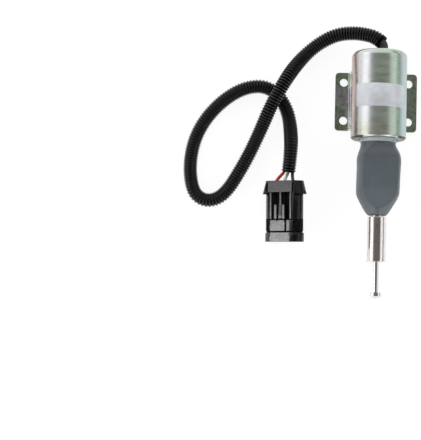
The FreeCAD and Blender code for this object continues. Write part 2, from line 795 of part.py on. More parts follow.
def latch_ribs():
    """Ribs along the broad side: one on each end tower, a middle rib, and the latch's rails and ramp."""
    ribs = []
    root = tower_radius - rib_root
    half = rib_width / 2
    end_top = rib_top - slot_gap
    for u in (-terminal_pitch, terminal_pitch):
        ribs.append(bar(u - half, u + half, root, end_top, ribs_start, shroud_start + cut_past))
        ribs.append(bar(u - half, u + half, -end_top, -root, ribs_start, shroud_start + cut_past))
    ribs.append(bar(-half, half, root, rib_top, ribs_start, rail_start))
    for u in (-rail_offset, rail_offset):
        ribs.append(bar(u - rail_width / 2, u + rail_width / 2, rail_root, rail_top, rail_start, rail_end))
    ramp = Part.makePolygon([
        V(0, root, rail_start), V(0, rib_top, rail_start), V(0, ramp_top, ramp_end - ramp_flat),
        V(0, ramp_top, ramp_end), V(0, root, ramp_end), V(0, root, rail_start)])
    wedge = Part.Face(ramp).extrude(X * ramp_width)
    wedge.translate(X * (-ramp_width / 2))
    ribs.append(wedge)
    return ribs


def key_block(u):
    """Small key on the cavity's floor, below each blade."""
    low = -(rim_thickness / 2 - rim_wall) - air_gap
    return bar(u + key_offset, u + key_offset + key_width, low, low + key_height,
               cavity_floor - cut_past, blade_tip - key_setback)


def terminal_lock():
    plate = oval(rim_width - lock_inset, rim_thickness, 0, lock_plate)
    half = lock_panel_width / 2
    outer = rim_thickness / 2
    panels = [bar(-half, half, outer - lock_wall, outer, 0, lock_panel_length),
              bar(-half, half, -outer, -outer + lock_wall, 0, lock_panel_length)]
    body = plate.fuse(panels)
    for side in (-1, 1):
        body = body.fuse(wing(side))
    for u in terminal_places():
        body = body.cut(Part.makeCylinder(wire_hole_radius, lock_plate + 2 * cut_past, V(u, 0, -cut_past), Z))
    return lay_connector(body.removeSplitter())


def wing(side):
    """Curved wing at one end of the lock, flaring out to a notched edge."""
    radius = rim_thickness / 2
    centre = (rim_width - lock_inset) / 2 - radius
    profile = [(radius - wing_wall, 0), (radius, 0), (radius + wing_flare, wing_length),
               (radius + wing_flare - wing_wall, wing_length)]
    points = [V(r, 0, w) for r, w in profile]
    section = Part.Face(Part.makePolygon(points + points[:1]))
    section.rotate(V(0, 0, 0), Z, -wing_half_angle)
    shell = section.revolve(V(0, 0, 0), Z, 2 * wing_half_angle)
    half = wing_notch_width / 2
    shell = shell.cut(bar(0, 2 * radius, -half, half, wing_length - wing_notch_depth, wing_length + cut_past))
    if side < 0:
        shell.rotate(V(0, 0, 0), Z, 180)
    shell.translate(X * (side * centre))
    return shell


def wire_seal(u):
    """Rubber seal on one wire, with three ridges that press in the housing's bore."""
    valley = seal_radius - seal_ridge
    pitch = seal_length / seal_ridges
    slope = pitch / 3
    corners = [V(wire_radius, 0, seal_start)]
    for i in range(seal_ridges):
        start = seal_start + i * pitch
        corners += [V(valley, 0, start), V(seal_radius, 0, start + slope)]
        corners += [V(seal_radius, 0, start + 2 * slope - seal_ridge), V(valley, 0, start + pitch - seal_ridge)]
    seal_end = seal_start + seal_length
    corners += [V(valley, 0, seal_end), V(wire_radius, 0, seal_end)]
    body = Part.Face(Part.makePolygon(corners + corners[:1])).revolve(V(0, 0, 0), Z, 360)
    body.translate(X * u)
    return lay_connector(body)


def terminal_blade(u):
    """Flat blade with its chamfered tip and the round barrel that grips the wire."""
    half = blade_width / 2
    root, shoulder, tip = barrel_end - rib_root, blade_tip - blade_chamfer, blade_tip
    point = half - blade_chamfer * 2 / 3
    outline = [V(-half, 0, root), V(half, 0, root), V(half, 0, shoulder),
               V(point, 0, tip), V(-point, 0, tip), V(-half, 0, shoulder)]
    blade = Part.Face(Part.makePolygon(outline + outline[:1])).extrude(Y * blade_thickness)
    blade.translate(Y * (-blade_thickness / 2))
    barrel = Part.makeCylinder(barrel_radius, barrel_end - barrel_start, V(0, 0, barrel_start), Z)
    bore = Part.makeCylinder(wire_radius, wire_grip + 2 * cut_past, V(0, 0, barrel_start - cut_past), Z)
    body = blade.fuse(barrel).cut(bore)
    body.translate(X * u)
    return lay_connector(body.removeSplitter())


wire_spread = {"red": (-1, V(-2.3, 0, -1.2)), "white": (0, V(0.5, 0, 2.1)), "black": (1, V(2.1, 0, -0.8))}


def wire(colour):
    """One wire from the end of the conduit through the lock and seal into its terminal."""
    place, offset = wire_spread[colour]
    end = conduit_route[-1]
    way = (end - conduit_route[-2]).normalize()
    start = end + (offset - way * offset.dot(way))
    u = place * terminal_pitch
    lift = start + way * wire_lift
    gather = connector_point(u, 0, -wire_gather)
    home = connector_point(u, 0, barrel_start + wire_grip)
    return cord([start, lift, gather, home], wire_radius, 0.4)[0]


def conduit():
    solid, path, radii = cord(conduit_route, conduit_radius)
    section = math.pi * conduit_radius ** 2
    print("conduit length %.1f mm, volume / (section x length) %.4f"
          % (path.Length, solid.Volume / (section * path.Length)))
    print("conduit arc radii " + " ".join("%.0f" % r for r in radii))
    return solid


def all_nodes():
    nodes = {
        "housing_can": housing_can(),
        "mounting_bracket": mounting_bracket(),
        "label": label(),
        "front_plate": front_plate(),
        "rear_plate": rear_plate(),
        "backstop": backstop(),
        "guide_tube": guide_tube(),
        "bobbin": bobbin(),
        "pull_winding": pull_winding(),
        "hold_winding": hold_winding(),
        "coil_wrap": coil_wrap(),
        "coil_leads": coil_leads(),
        "wire_grommet": wire_grommet(),
        "lead_sleeve": lead_sleeve(),
        "boot_ring": boot_ring(),
        "boot": boot(),
        "return_spring": return_spring(),
        "plunger": plunger(),
        "coupling_sleeve": coupling_sleeve(),
        "overtravel_spring": overtravel_spring(),
        "sleeve_washer": sleeve_washer(),
        "retaining_ring": retaining_ring(),
        "link_rod": link_rod(),
        "rod_nut": rod_nut(),
        "conduit": conduit(),
        "connector_housing": connector_housing(),
        "terminal_lock": terminal_lock(),
    }
    for number, u in enumerate(terminal_places(), 1):
        nodes["terminal_blade_%d" % number] = terminal_blade(u)
        nodes["wire_seal_%d" % number] = wire_seal(u)
    for colour in wire_spread:
        nodes["wire_" + colour] = wire(colour)
    return nodes


os.makedirs("parts", exist_ok=True)
for name, shape in all_nodes().items():
    box = shape.BoundBox
    print("%-20s solids %d valid %s volume %9.1f  x %.1f..%.1f y %.1f..%.1f z %.2f..%.2f"
          % (name, len(shape.Solids), shape.isValid(), shape.Volume,
             box.XMin, box.XMax, box.YMin, box.YMax, box.ZMin, box.ZMax))
    shape.exportStep("parts/" + name + ".step")
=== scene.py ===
import math
from bisect import bisect_right

import bmesh
import bpy
from mathutils import Matrix, Vector, noise


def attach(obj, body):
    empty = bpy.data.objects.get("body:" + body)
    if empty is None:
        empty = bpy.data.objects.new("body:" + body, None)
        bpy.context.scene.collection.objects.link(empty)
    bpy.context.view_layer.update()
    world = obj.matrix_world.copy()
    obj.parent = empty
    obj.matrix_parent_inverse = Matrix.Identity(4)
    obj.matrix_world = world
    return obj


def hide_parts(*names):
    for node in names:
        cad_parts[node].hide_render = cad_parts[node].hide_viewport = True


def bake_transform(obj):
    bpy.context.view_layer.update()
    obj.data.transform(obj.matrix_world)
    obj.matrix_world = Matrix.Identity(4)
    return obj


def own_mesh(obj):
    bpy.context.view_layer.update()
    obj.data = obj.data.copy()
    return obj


# Looks of a fuel shutoff solenoid with its corrugated lead and three way connector. Lengths
# are in millimetres and brought to metres by MM.

MM = 0.001
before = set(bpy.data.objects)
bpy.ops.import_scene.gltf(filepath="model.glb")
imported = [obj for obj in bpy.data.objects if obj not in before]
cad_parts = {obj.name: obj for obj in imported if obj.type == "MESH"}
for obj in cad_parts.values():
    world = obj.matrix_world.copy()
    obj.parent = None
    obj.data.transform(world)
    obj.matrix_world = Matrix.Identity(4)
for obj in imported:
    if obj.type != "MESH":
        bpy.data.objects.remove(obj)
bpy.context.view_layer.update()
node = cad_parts

AXIS = Vector((0, 0, 24.525))       # a point on the solenoid's axis, which runs along Y
UP = Vector((0, 0, 1))
CAN_RADIUS = 22.225
MERGE = 0.001                       # points nearer than this are one


# The camera, at the photograph's own angle

CAMERA_AIM, CAMERA_DISTANCE = Vector((-0.13296, -0.09993, 0)), 1.2603
CAMERA_TILT, CAMERA_ROLL = 0.080, math.radians(1.5)
FOCAL_LENGTH, SENSOR_WIDTH = 126.4, 36


def make_camera():
    roll_cos, roll_sin = math.cos(CAMERA_ROLL), math.sin(CAMERA_ROLL)
    tilt_cos, tilt_sin = math.cos(CAMERA_TILT), math.sin(CAMERA_TILT)
    right = Vector((roll_cos, roll_sin * tilt_cos, roll_sin * tilt_sin))
    up = Vector((-roll_sin, roll_cos * tilt_cos, roll_cos * tilt_sin))
    back = right.cross(up)
    turn = Matrix((right, up, back)).transposed().to_4x4()
    data = bpy.data.cameras.new("camera")
    data.lens, data.sensor_width = FOCAL_LENGTH, SENSOR_WIDTH
    data.clip_start, data.clip_end = 0.05, 20
    camera = bpy.data.objects.new("camera", data)
    camera.matrix_world = Matrix.Translation(CAMERA_AIM + back * CAMERA_DISTANCE) @ turn
    bpy.context.scene.collection.objects.link(camera)
    bpy.context.scene.camera = camera


# The connector's own frame: across its row of terminals, through its thickness, along the wires

CONNECTOR_AT = Vector((-73.9, -67.9, 15.69))
ROLL, NOD, YAW = math.radians(32.0), math.radians(3.2), math.radians(1.2)       # on edge, nose down, aside


def connector_axes():
    """The connector's directions across, through and along."""
    along = Vector((math.sin(YAW) * math.cos(NOD), -math.cos(YAW) * math.cos(NOD), -math.sin(NOD)))
    through = along.cross(Vector((math.cos(ROLL), 0, math.sin(ROLL)))).normalized()
    return through.cross(along), through, along


def connector_point(across, along):
    """Place in millimetres of a point in the middle of the connector's thickness."""
    across_axis, _, along_axis = connector_axes()
    return CONNECTOR_AT + across_axis * across + along_axis * along


# Smooth lines that the cord follows

LYING = 5.95        # height of the conduit's middle where it lies on the floor
OVER = 18.1         # and where it is on top of its own loop
CONDUIT_ROUTE = [
    (1.7, 44.9, 26.6), (-3.0, 49.2, 25.2), (-10.6, 51.9, 22.8), (-20.4, 53.7, 19.6), (-34.0, 53.0, 15.0),
    (-47.0, 47.0, 9.5), (-58.0, 38.0, 6.8), (-67.4, 26.6, 9.8), (-74.8, 14.6, OVER), (-85.8, -5.6, OVER),
    (-94.2, -26.5, 9.3), (-103.2, -46.8, LYING), (-112.8, -64.6, LYING), (-119.3, -75.0, LYING),
    (-126.9, -82.5, LYING), (-136.7, -84.9, LYING), (-145.4, -80.6, LYING), (-149.6, -70.6, LYING),
    (-151.0, -54.0, LYING), (-147.8, -34.5, LYING), (-138.3, -16.2, LYING), (-123.9, -0.9, LYING),
    (-107.5, 9.0, LYING), (-91.0, 10.7, LYING), (-79.2, 2.5, LYING), (-72.0, -10.5, LYING),
    (-69.5, -25.5, 8.2), (-69.3, -43.5, 17.4), (-71.0, -60.7, CONNECTOR_AT.z)]


class Track:
    """A line with its length, and the frame that a tube carries along it without twisting."""

    def __init__(self, points, up):
        self.points = points
        self.reach = [0.0]
        for a, b in zip(points, points[1:]):
            self.reach.append(self.reach[-1] + (b - a).length)
        self.length = self.reach[-1]
        self.ups = []
        last = len(points) - 1
        for i in range(last + 1):
            ahead = (points[min(i + 1, last)] - points[max(i - 1, 0)]).normalized()
            up = (up - ahead * up.dot(ahead)).normalized()
            self.ups.append(up)

    def at(self, distance):
        """Place, direction to the side and direction up at a distance along the line."""
        low = min(max(bisect_right(self.reach, distance) - 1, 0), len(self.points) - 2)
        share = (distance - self.reach[low]) / (self.reach[low + 1] - self.reach[low])
        a, b = self.points[low], self.points[low + 1]
        ahead = (b - a).normalized()
        up = self.ups[low].lerp(self.ups[low + 1], share)
        up = (up - ahead * up.dot(ahead)).normalized()
        return a + (b - a) * share, ahead.cross(up), up


def smooth_line(name, route, steps=32):
    """Curve object of one smooth open line through millimetre control points, with no thickness."""
    data = bpy.data.curves.new(name, "CURVE")
    data.dimensions = "3D"
    data.resolution_u = steps
    spline = data.splines.new("NURBS")
    spline.points.add(len(route) - 1)
    for point, place in zip(spline.points, route):
        point.co = (*(Vector(place) * MM), 1)
    spline.order_u = 3
    spline.use_endpoint_u = True
    line = bpy.data.objects.new(name, data)
    bpy.context.scene.collection.objects.link(line)
    return line


def track_along(name, route):
    """Track of the smooth line through millimetre control points, as Blender draws it."""
    line = smooth_line(name, route)
    bpy.context.view_layer.update()
    mesh = bpy.data.meshes.new_from_object(line)
    points = [vertex.co.copy() for vertex in mesh.vertices]
    bpy.data.meshes.remove(mesh)
    bpy.data.objects.remove(line)
    return Track(points, UP)


# Making pieces

def share_of(distance, start, length):
    """How much of a length from a start lies behind a distance, from nought to one."""
    return min(1.0, max(0.0, (distance - start) / length))


def smooth(share):
    """A share from nought to one with a soft start and a soft end."""
    return share * share * (3 - 2 * share)


def round_place(track_frame, angle, radius):
    """Place at an angle and a radius in millimetres round a point of a track."""
    place, side, up = track_frame
    return place + (side * math.cos(angle) + up * math.sin(angle)) * (radius * MM)


def round_corners(bm, corners, reach):
    """Round the corners of an outline, each over a reach in millimetres to both sides."""
    bmesh.ops.bevel(bm, geom=corners, offset=reach * MM, segments=5, profile=0.5,
                    affect="VERTICES", material=-1)


def close_ends(bm):
    """Merge the seam of a tube, fill its two ends and turn its faces outwards."""
    bmesh.ops.remove_doubles(bm, verts=bm.verts, dist=MERGE * MM)
    bmesh.ops.holes_fill(bm, edges=[e for e in bm.edges if e.is_boundary], sides=0)
    bmesh.ops.recalc_face_normals(bm, faces=bm.faces)


TURN_STEPS = 128


def turned(corners):
    """Shape turned about the solenoid's axis, from (radius, y, rounding) corners."""
    bm = bmesh.new()
    verts = [bm.verts.new((radius * MM, y * MM, 0)) for radius, y, _ in corners]
    for a, b in zip(verts, verts[1:] + verts[:1]):
        bm.edges.new((a, b))
    for vert, (_, _, rounding) in zip(verts, corners):
        if rounding:
            a, b = [(edge.other_vert(vert).co - vert.co).normalized() for edge in vert.link_edges]
            round_corners(bm, [vert], rounding / math.tan(a.angle(b) / 2))
    bmesh.ops.spin(bm, geom=bm.verts[:] + bm.edges[:], cent=(0, 0, 0), axis=(0, 1, 0),
                   angle=math.tau, steps=TURN_STEPS, use_merge=True)
    bmesh.ops.remove_doubles(bm, verts=bm.verts, dist=MERGE * MM)
    bmesh.ops.recalc_face_normals(bm, faces=bm.faces)
    bmesh.ops.translate(bm, verts=bm.verts, vec=AXIS * MM)
    return bm


def piece(name, bm, smooth_shaded=True):
    """Object of a finished bmesh, standing at the origin."""
    mesh = bpy.data.meshes.new(name)
    bm.to_mesh(mesh)
    bm.free()
    made = bpy.data.objects.new(name, mesh)
    bpy.context.scene.collection.objects.link(made)
    for face in mesh.polygons:
        face.use_smooth = smooth_shaded
    return made


def modifier(made, kind, **settings):
    """Give a piece a modifier with its settings."""
    added = made.modifiers.new(kind.title(), kind)
    for key, value in settings.items():
        setattr(added, key, value)


def soften(made, width, segments):
    """Weld a loose mesh together and round its sharp edges."""
    modifier(made, "WELD", merge_threshold=0.002 * MM)
    modifier(made, "BEVEL", width=width * MM, segments=segments, limit_method="ANGLE",
             angle_limit=math.radians(32), harden_normals=True)


# Materials

class NodeTree:
    """The nodes of a material or a world, with the steps that its colours are worked out in."""

    def __init__(self, owner):
        owner.use_nodes = True
        self.nodes = owner.node_tree.nodes
        self.link = owner.node_tree.links.new

    def feed(self, socket, value):
        """Link an output to a socket, or set the socket to a number, a vector or a colour."""
        if isinstance(value, bpy.types.NodeSocket):
            self.link(value, socket)
        elif socket.type == "RGBA":
            socket.default_value = (*value, 1)
        else:
            socket.default_value = value

    def add(self, kind, **values):
        """New node of a kind with its sockets fed, an underscore in a name standing for a space."""
        added = self.nodes.new("ShaderNode" + kind)
        for name, value in values.items():
            self.feed(added.inputs[name.replace("_", " ")], value)
        return added

    def axes(self, place):
        """The three numbers of a place."""
        return self.add("SeparateXYZ", Vector=place).outputs

    def worked(self, operation, first, second=0.0):
        """One step of arithmetic on outputs or numbers."""
        step = self.add("Math")
        step.operation = operation
        self.feed(step.inputs[0], first)
        self.feed(step.inputs[1], second)
        return step.outputs[0]

    def times(self, *values):
        """The product of a few outputs or numbers."""
        product = values[0]
        for value in values[1:]:
            product = self.worked("MULTIPLY", product, value)
        return product

    def ranged(self, value, low, high, to_low=0.0, to_high=1.0):
        """Smooth step from one number to another as a value goes from low to high."""
        remap = self.add("MapRange")
        remap.interpolation_type = "SMOOTHSTEP"
        limits = {"From Min": low, "From Max": high, "To Min": to_low, "To Max": to_high, "Value": value}
        for name, limit in limits.items():
            self.feed(remap.inputs[name], limit)
        return remap.outputs["Result"]

    def mixed(self, share, first, second):
        """Colour between two, each a colour or the output of a node."""
        mix = self.add("Mix")
        mix.data_type = "RGBA"
        for name, value in (("Factor", share), ("A", first), ("B", second)):
            self.feed(mix.inputs[name], value)
        return mix.outputs["Result"]

    def joined(self, kind, first, second, **values):
        """Shader node that brings two others together."""
        added = self.add(kind, **values)
        self.link(first.outputs[0], added.inputs[-2])
        self.link(second.outputs[0], added.inputs[-1])
        return added


class Finish(NodeTree):
    """A material of one Principled shader, whose patterns read object coordinates."""

    def __init__(self, name, colour, roughness, metallic=0.0, **values):
        self.material = bpy.data.materials.new(name)
        super().__init__(self.material)
        self.shader = self.nodes["Principled BSDF"]
        self.place = self.add("TexCoord").outputs["Object"]
        self.colour, self.roughness = colour, roughness
        self.set(Base_Color=colour, Roughness=roughness, Metallic=metallic, **values)

    def set(self, **values):
        """Feed the shader's own sockets."""
        for name, value in values.items():
            self.feed(self.shader.inputs[name.replace("_", " ")], value)
        return self

    def mapped(self, **values):
        """The coordinates turned, moved or stretched."""
        return self.add("Mapping", Vector=self.place, **values).outputs["Vector"]

    def in_connector(self):
        """Places across, through and along the connector, in metres."""
        turn = Matrix(connector_axes())
        return self.axes(self.mapped(Rotation=turn.to_euler(), Location=turn @ (CONNECTOR_AT * -MM)))

    def past(self, value, start, end):
        """One where a value is past an end, nought before a start, both in millimetres."""
        return self.ranged(value, start * MM, end * MM)

    def band(self, value, low, high, soft=0.15):
        """One where a value lies between two lengths in millimetres, nought outside them."""
        rise = self.past(value, low - soft, low + soft)
        fall = self.past(value, high + soft, high - soft)
        return self.times(rise, fall)

    def noise(self, size, detail=3.0, stretch=None, roughness=0.55):
        """Noise whose spots are about a size in millimetres across."""
        place = self.mapped(Scale=stretch) if stretch else self.place
        texture = self.add("TexNoise", Vector=place, Scale=1 / (size * MM), Detail=detail,
                           Roughness=roughness)
        return texture.outputs["Fac"]

    def wander(self, spread, size, stretch=None):
        """Roughness that wanders by a spread round the material's own."""
        return self.ranged(self.noise(size, 4.0, stretch), 0.3, 0.7,
                           self.roughness - spread, self.roughness + spread)

    def uneven(self, spread, size, stretch=None):
        """Let the roughness wander over the surface."""
        return self.set(Roughness=self.wander(spread, size, stretch))

    def blotched(self, other, size, low=0.4, high=0.65, detail=3.0, stretch=None):
        """Patches of another colour over the base colour."""
        spots = self.ranged(self.noise(size, detail, stretch), low, high)
        return self.set(Base_Color=self.mixed(spots, self.colour, other))

    def grain(self, size, depth, detail=3.0, stretch=None):
        """Bumps a size across and a depth high, both in millimetres, over any earlier ones."""
        bump = self.add("Bump", Distance=depth * MM, Strength=1.0, Height=self.noise(size, detail, stretch))
        before = self.shader.inputs["Normal"]
        if before.is_linked:
            self.link(before.links[0].from_socket, bump.inputs["Normal"])
        return self.set(Normal=bump.outputs["Normal"])


def plated_can():
    """Zinc plate whose passivation runs from pink on the left through olive to green and pale blue, with a
    painted dark reflection band on the right and painted shade at the front corners.
    """
    zinc = Finish("zinc_can", (0.68, 0.69, 0.71), 0.30, 1.0)
    across, along, _ = zinc.axes(zinc.place)
    olive = zinc.mixed(zinc.past(across, -9.0, -3.0), zinc.colour, (0.54, 0.63, 0.54))
    brown = zinc.mixed(zinc.past(along, -14.0, -30.0), olive, (0.58, 0.59, 0.51))
    streaks = zinc.ranged(zinc.noise(5, stretch=(0.1, 1, 0.1)), 0.45, 0.7)
    streaked = zinc.mixed(streaks, brown, (0.64, 0.68, 0.63))
    patch = zinc.mixed(zinc.band(across, 7.6, 14.2, 1.0), streaked, (0.48, 0.60, 0.52))
    spots = zinc.ranged(zinc.noise(1.4, 6.0, roughness=0.8), 0.48, 0.60)
    speckled = zinc.mixed(zinc.times(spots, zinc.band(across, 7.6, 20.0, 1.0)), patch, (0.36, 0.44, 0.37))
    # Painted dark reflection: a darker green band on the right side of the can, between the speckled patch
    # and the pale blue edge.
    shade = zinc.mixed(zinc.band(across, 14.2, 17.0, 0.4), speckled, (0.40, 0.49, 0.44))
    blue = zinc.mixed(zinc.past(across, 16.6, 17.6), shade, (0.46, 0.58, 0.58))
    pink = zinc.mixed(zinc.past(across, -16.8, -19.0), blue, (0.54, 0.45, 0.42))
    clouded = zinc.mixed(zinc.ranged(zinc.noise(12), 0.56, 0.78), pink, (0.58, 0.56, 0.54))
    # Painted shade: the can turns near black at its front corners, low on each side.
    aside = zinc.past(zinc.worked("ABSOLUTE", across), 12.5, 15.0)
    shaded_front_corners = zinc.times(zinc.past(along, -31.8, -32.7), aside)
    zinc.set(Base_Color=zinc.mixed(shaded_front_corners, clouded, (0.06, 0.075, 0.055)))
    round_can = (0.3, 1, 0.3)
    return zinc.uneven(0.04, 4, round_can).grain(0.7, 0.0012, 3.0, round_can).grain(6, 0.03)


def plated_bracket():
    """Zinc plate: grey violet in the middle of a foot, olive green at its corners, with a painted highlight
    in a strip beside the can on the left.
    """
    zinc = Finish("zinc_bracket", (0.44, 0.45, 0.49), 0.30, 1.0)
    across, along, _ = zinc.axes(zinc.place)
    rear = zinc.mixed(zinc.past(along, 8.0, 17.0), zinc.colour, (0.28, 0.37, 0.23))
    front = zinc.mixed(zinc.past(along, -10.0, -18.0), rear, (0.33, 0.36, 0.25))
    blotches = zinc.mixed(zinc.ranged(zinc.noise(7, 5.0), 0.46, 0.62), front, (0.30, 0.38, 0.30))
    stained = zinc.mixed(zinc.ranged(zinc.noise(2.5, 5.0), 0.54, 0.72), blotches, (0.42, 0.34, 0.29))
    right = zinc.mixed(zinc.past(across, 18.0, 22.0), stained, (0.33, 0.39, 0.31))
    # Painted highlight: a bright strip beside the can on the left, near white in the middle and pinkish
    # towards its ends.
    bend_painted_highlight = zinc.mixed(zinc.band(along, -7.0, 8.0, 4.0), (0.80, 0.84, 0.84), (0.66, 0.57, 0.62))
    zinc.set(Base_Color=zinc.mixed(zinc.band(across, -22.6, -19.6, 0.3), right, bend_painted_highlight))
    return zinc.uneven(0.08, 3).grain(0.4, 0.004).grain(5, 0.02)


# On the three black finishes a metallic value isn't metal: it takes the diffuse light out of a
# hollow, and so stands for the shade in it.

def moulded_connector():
    """Glossy black nylon, matt and with painted shade between its ribs, in the step behind its rim and at
    the end of its row past the black wire.
    """
    nylon = Finish("connector_black", (0.005, 0.005, 0.005), 0.22, Specular_IOR_Level=0.75)
    across, through, along = nylon.in_connector()
    pads = nylon.worked("ADD", nylon.band(across, -9.3, 4.4), nylon.band(across, 6.1, 11.4))
    beside_pads = nylon.worked("SUBTRACT", 1.0, nylon.times(pads, nylon.band(along, 31.9, 40.5)))
    step = nylon.times(nylon.band(along, 30.8, 41.8), beside_pads)
    between_ribs = nylon.times(nylon.band(through, -6.6, 6.6), nylon.band(across, -10.5, 10.5),
                               nylon.band(along, 0.0, 31.0))
    hollow = nylon.worked("MAXIMUM", step, between_ribs)
    # Painted shade: past the black wire's end of the row the nylon is made partly metallic, which darkens
    # it.
    side = nylon.times(nylon.past(across, 11.3, 11.8), 0.7)
    nylon.set(Roughness=nylon.worked("ADD", nylon.wander(0.05, 1.5), nylon.times(hollow, 0.6)),
              Metallic=nylon.times(nylon.worked("MAXIMUM", hollow, side), 0.9))
    return nylon.blotched((0.009, 0.009, 0.010), 2.0).grain(0.5, 0.004)


def moulded_lock():
    """The same nylon on the flared lock, with painted shade on its two ends."""
    nylon = Finish("lock_grey", (0.009, 0.009, 0.009), 0.33, Specular_IOR_Level=0.7)
    across, _, _ = nylon.in_connector()
    # Painted shade: both ends of the lock are made mostly metallic, which darkens them.
    ends = nylon.worked("SUBTRACT", 1.0, nylon.band(across, -12.0, 11.9))
    nylon.set(Metallic=nylon.times(ends, 0.8))
    return nylon.blotched((0.016, 0.016, 0.017), 2.0).uneven(0.08, 1.5).grain(0.5, 0.005)


def corrugated_black():
    """Glossy black ribs with dead black between them, where little light gets in."""
    black = Finish("conduit_black", (0.003, 0.003, 0.003), 0.16, Specular_IOR_Level=0.9)
    height = black.add("Attribute")
    height.attribute_name = RIB_HEIGHT
    black.set(Metallic=black.ranged(height.outputs["Fac"], 0.99, 0.78))
    return black.blotched((0.006, 0.006, 0.006), 2.5).uneven(0.05, 2.0).grain(0.4, 0.002)


FINISHES = {
    "housing_can": plated_can,
    "mounting_bracket": plated_bracket,
    "ring": lambda: Finish("ring_nylon", (0.54, 0.58, 0.62), 0.42)
        .blotched((0.59, 0.62, 0.65), 3).uneven(0.08, 2).grain(0.5, 0.006),
    "foil": lambda: Finish("label_foil", (0.62, 0.65, 0.68), 0.44, 0.35)
        .blotched((0.56, 0.58, 0.63), 5).uneven(0.06, 3).grain(0.35, 0.003).grain(6, 0.02),
    "boot": lambda: Finish("boot_rubber", (0.072, 0.089, 0.103), 0.42, Specular_IOR_Level=0.8)
        .blotched((0.080, 0.098, 0.111), 7).uneven(0.08, 3).grain(0.3, 0.008).grain(4, 0.03),
    "chrome": lambda: Finish("bright_chrome", (0.80, 0.77, 0.74), 0.10, 1.0)
        .blotched((0.60, 0.50, 0.43), 1.2, 0.5, 0.75, 5.0, (1, 0.25, 1)).uneven(0.05, 1.5, (1, 0.1, 1))
        .grain(0.3, 0.002, 3.0, (1, 0.05, 1)),
    "rod": lambda: Finish("rod_steel", (0.82, 0.82, 0.81), 0.14, 1.0)
        .blotched((0.70, 0.69, 0.66), 1.5, 0.5, 0.75, 4.0, (1, 0.3, 1)).uneven(0.05, 1.5, (1, 0.1, 1))
        .grain(0.25, 0.002, 3.0, (1, 0.08, 1)),
    "iron": lambda: Finish("soft_iron", (0.42, 0.41, 0.39), 0.42, 1.0)
        .blotched((0.34, 0.32, 0.30), 3).uneven(0.1, 2).grain(0.3, 0.004, 3.0, (1, 0.2, 1)),
    "brass": lambda: Finish("brass_tube", (0.72, 0.55, 0.28), 0.28, 1.0)
        .blotched((0.62, 0.44, 0.22), 4).uneven(0.08, 2).grain(0.3, 0.002),
    "nylon": lambda: Finish("bobbin_nylon", (0.55, 0.53, 0.47), 0.45)
        .blotched((0.50, 0.47, 0.41), 4).uneven(0.08, 2).grain(0.4, 0.006),
    "enamel": lambda: Finish("enamel_wire", (0.52, 0.20, 0.07), 0.30, 0.7)
        .blotched((0.40, 0.14, 0.05), 2, stretch=(0.2, 1, 0.2)).uneven(0.08, 1)
        .grain(0.7, 0.10, 1.0, (0.05, 1, 0.05)),
    "tape": lambda: Finish("coil_tape", (0.60, 0.50, 0.26), 0.40)
        .blotched((0.52, 0.42, 0.20), 3).uneven(0.08, 2).grain(0.8, 0.02),
    "steel": lambda: Finish("spring_steel", (0.46, 0.45, 0.43), 0.30, 1.0)
        .blotched((0.36, 0.34, 0.32), 1.5).uneven(0.08, 1).grain(0.2, 0.002),
    "grommet": lambda: Finish("rubber_black", (0.020, 0.020, 0.021), 0.55)
        .blotched((0.030, 0.030, 0.030), 1.5).uneven(0.1, 1).grain(0.3, 0.01),
    "lead": lambda: Finish("lead_insulation", (0.018, 0.018, 0.019), 0.42)
        .blotched((0.030, 0.030, 0.032), 1.5).uneven(0.1, 1).grain(0.5, 0.01),
    "conduit": corrugated_black,
    "red": lambda: Finish("wire_red", (0.60, 0.022, 0.018), 0.36)
        .blotched((0.48, 0.016, 0.014), 1.5).uneven(0.08, 1).grain(0.4, 0.004),
    "white": lambda: Finish("wire_white", (0.60, 0.60, 0.58), 0.40)
        .blotched((0.50, 0.49, 0.46), 1.5).uneven(0.08, 1).grain(0.4, 0.004),
    "black": lambda: Finish("wire_black", (0.018, 0.018, 0.019), 0.36)
        .blotched((0.028, 0.028, 0.030), 1.5).uneven(0.08, 1).grain(0.4, 0.004),
    "connector": moulded_connector,
    "lock": moulded_lock,
    "tin": lambda: Finish("tinned_brass", (0.70, 0.69, 0.66), 0.28, 1.0)
        .blotched((0.58, 0.56, 0.52), 0.8).uneven(0.08, 0.6).grain(0.2, 0.002),
    "seal": lambda: Finish("seal_rubber", (0.26, 0.055, 0.035), 0.50)
        .blotched((0.20, 0.04, 0.03), 1.0).uneven(0.08, 0.8).grain(0.2, 0.004),
}
made_finishes = {}


def finish(key):
    """The material of a finish, made the first time that it is asked for."""
    if key not in made_finishes:
        made_finishes[key] = FINISHES[key]().material
    return made_finishes[key]


def dress(made, key, body=None):
    """Give a piece its finish and the body that it rides on."""
    made.data.materials.clear()
    made.data.materials.append(finish(key))
    if body:
        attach(made, body)


# The corrugated conduit

PITCH = 2.25
WAVE = [(0.00, 5.10), (0.12, 5.56), (0.24, 5.82), (0.36, 5.90), (0.48, 5.82), (0.60, 5.56), (0.72, 5.10),
        (0.86, 4.92)]               # share of the pitch and radius there
VALLEY, CREST = min(radius for _, radius in WAVE), max(radius for _, radius in WAVE)
RIB_HEIGHT = "rib"                  # name of the attribute that is nought in a valley and one on a crest
COLLAR_LENGTH, COLLAR_RADIUS = 3.0, 5.66        # the first stretch at the can has no ribs
CONDUIT_AROUND, CONDUIT_WALL = 26, 0.45
SLIT_AT, SLIT_WIDTH = math.radians(-80), math.radians(4)
SLIT_SWAY, SLIT_SWAY_LENGTH = 0.35, 70          # how far the slit wanders, and in what length


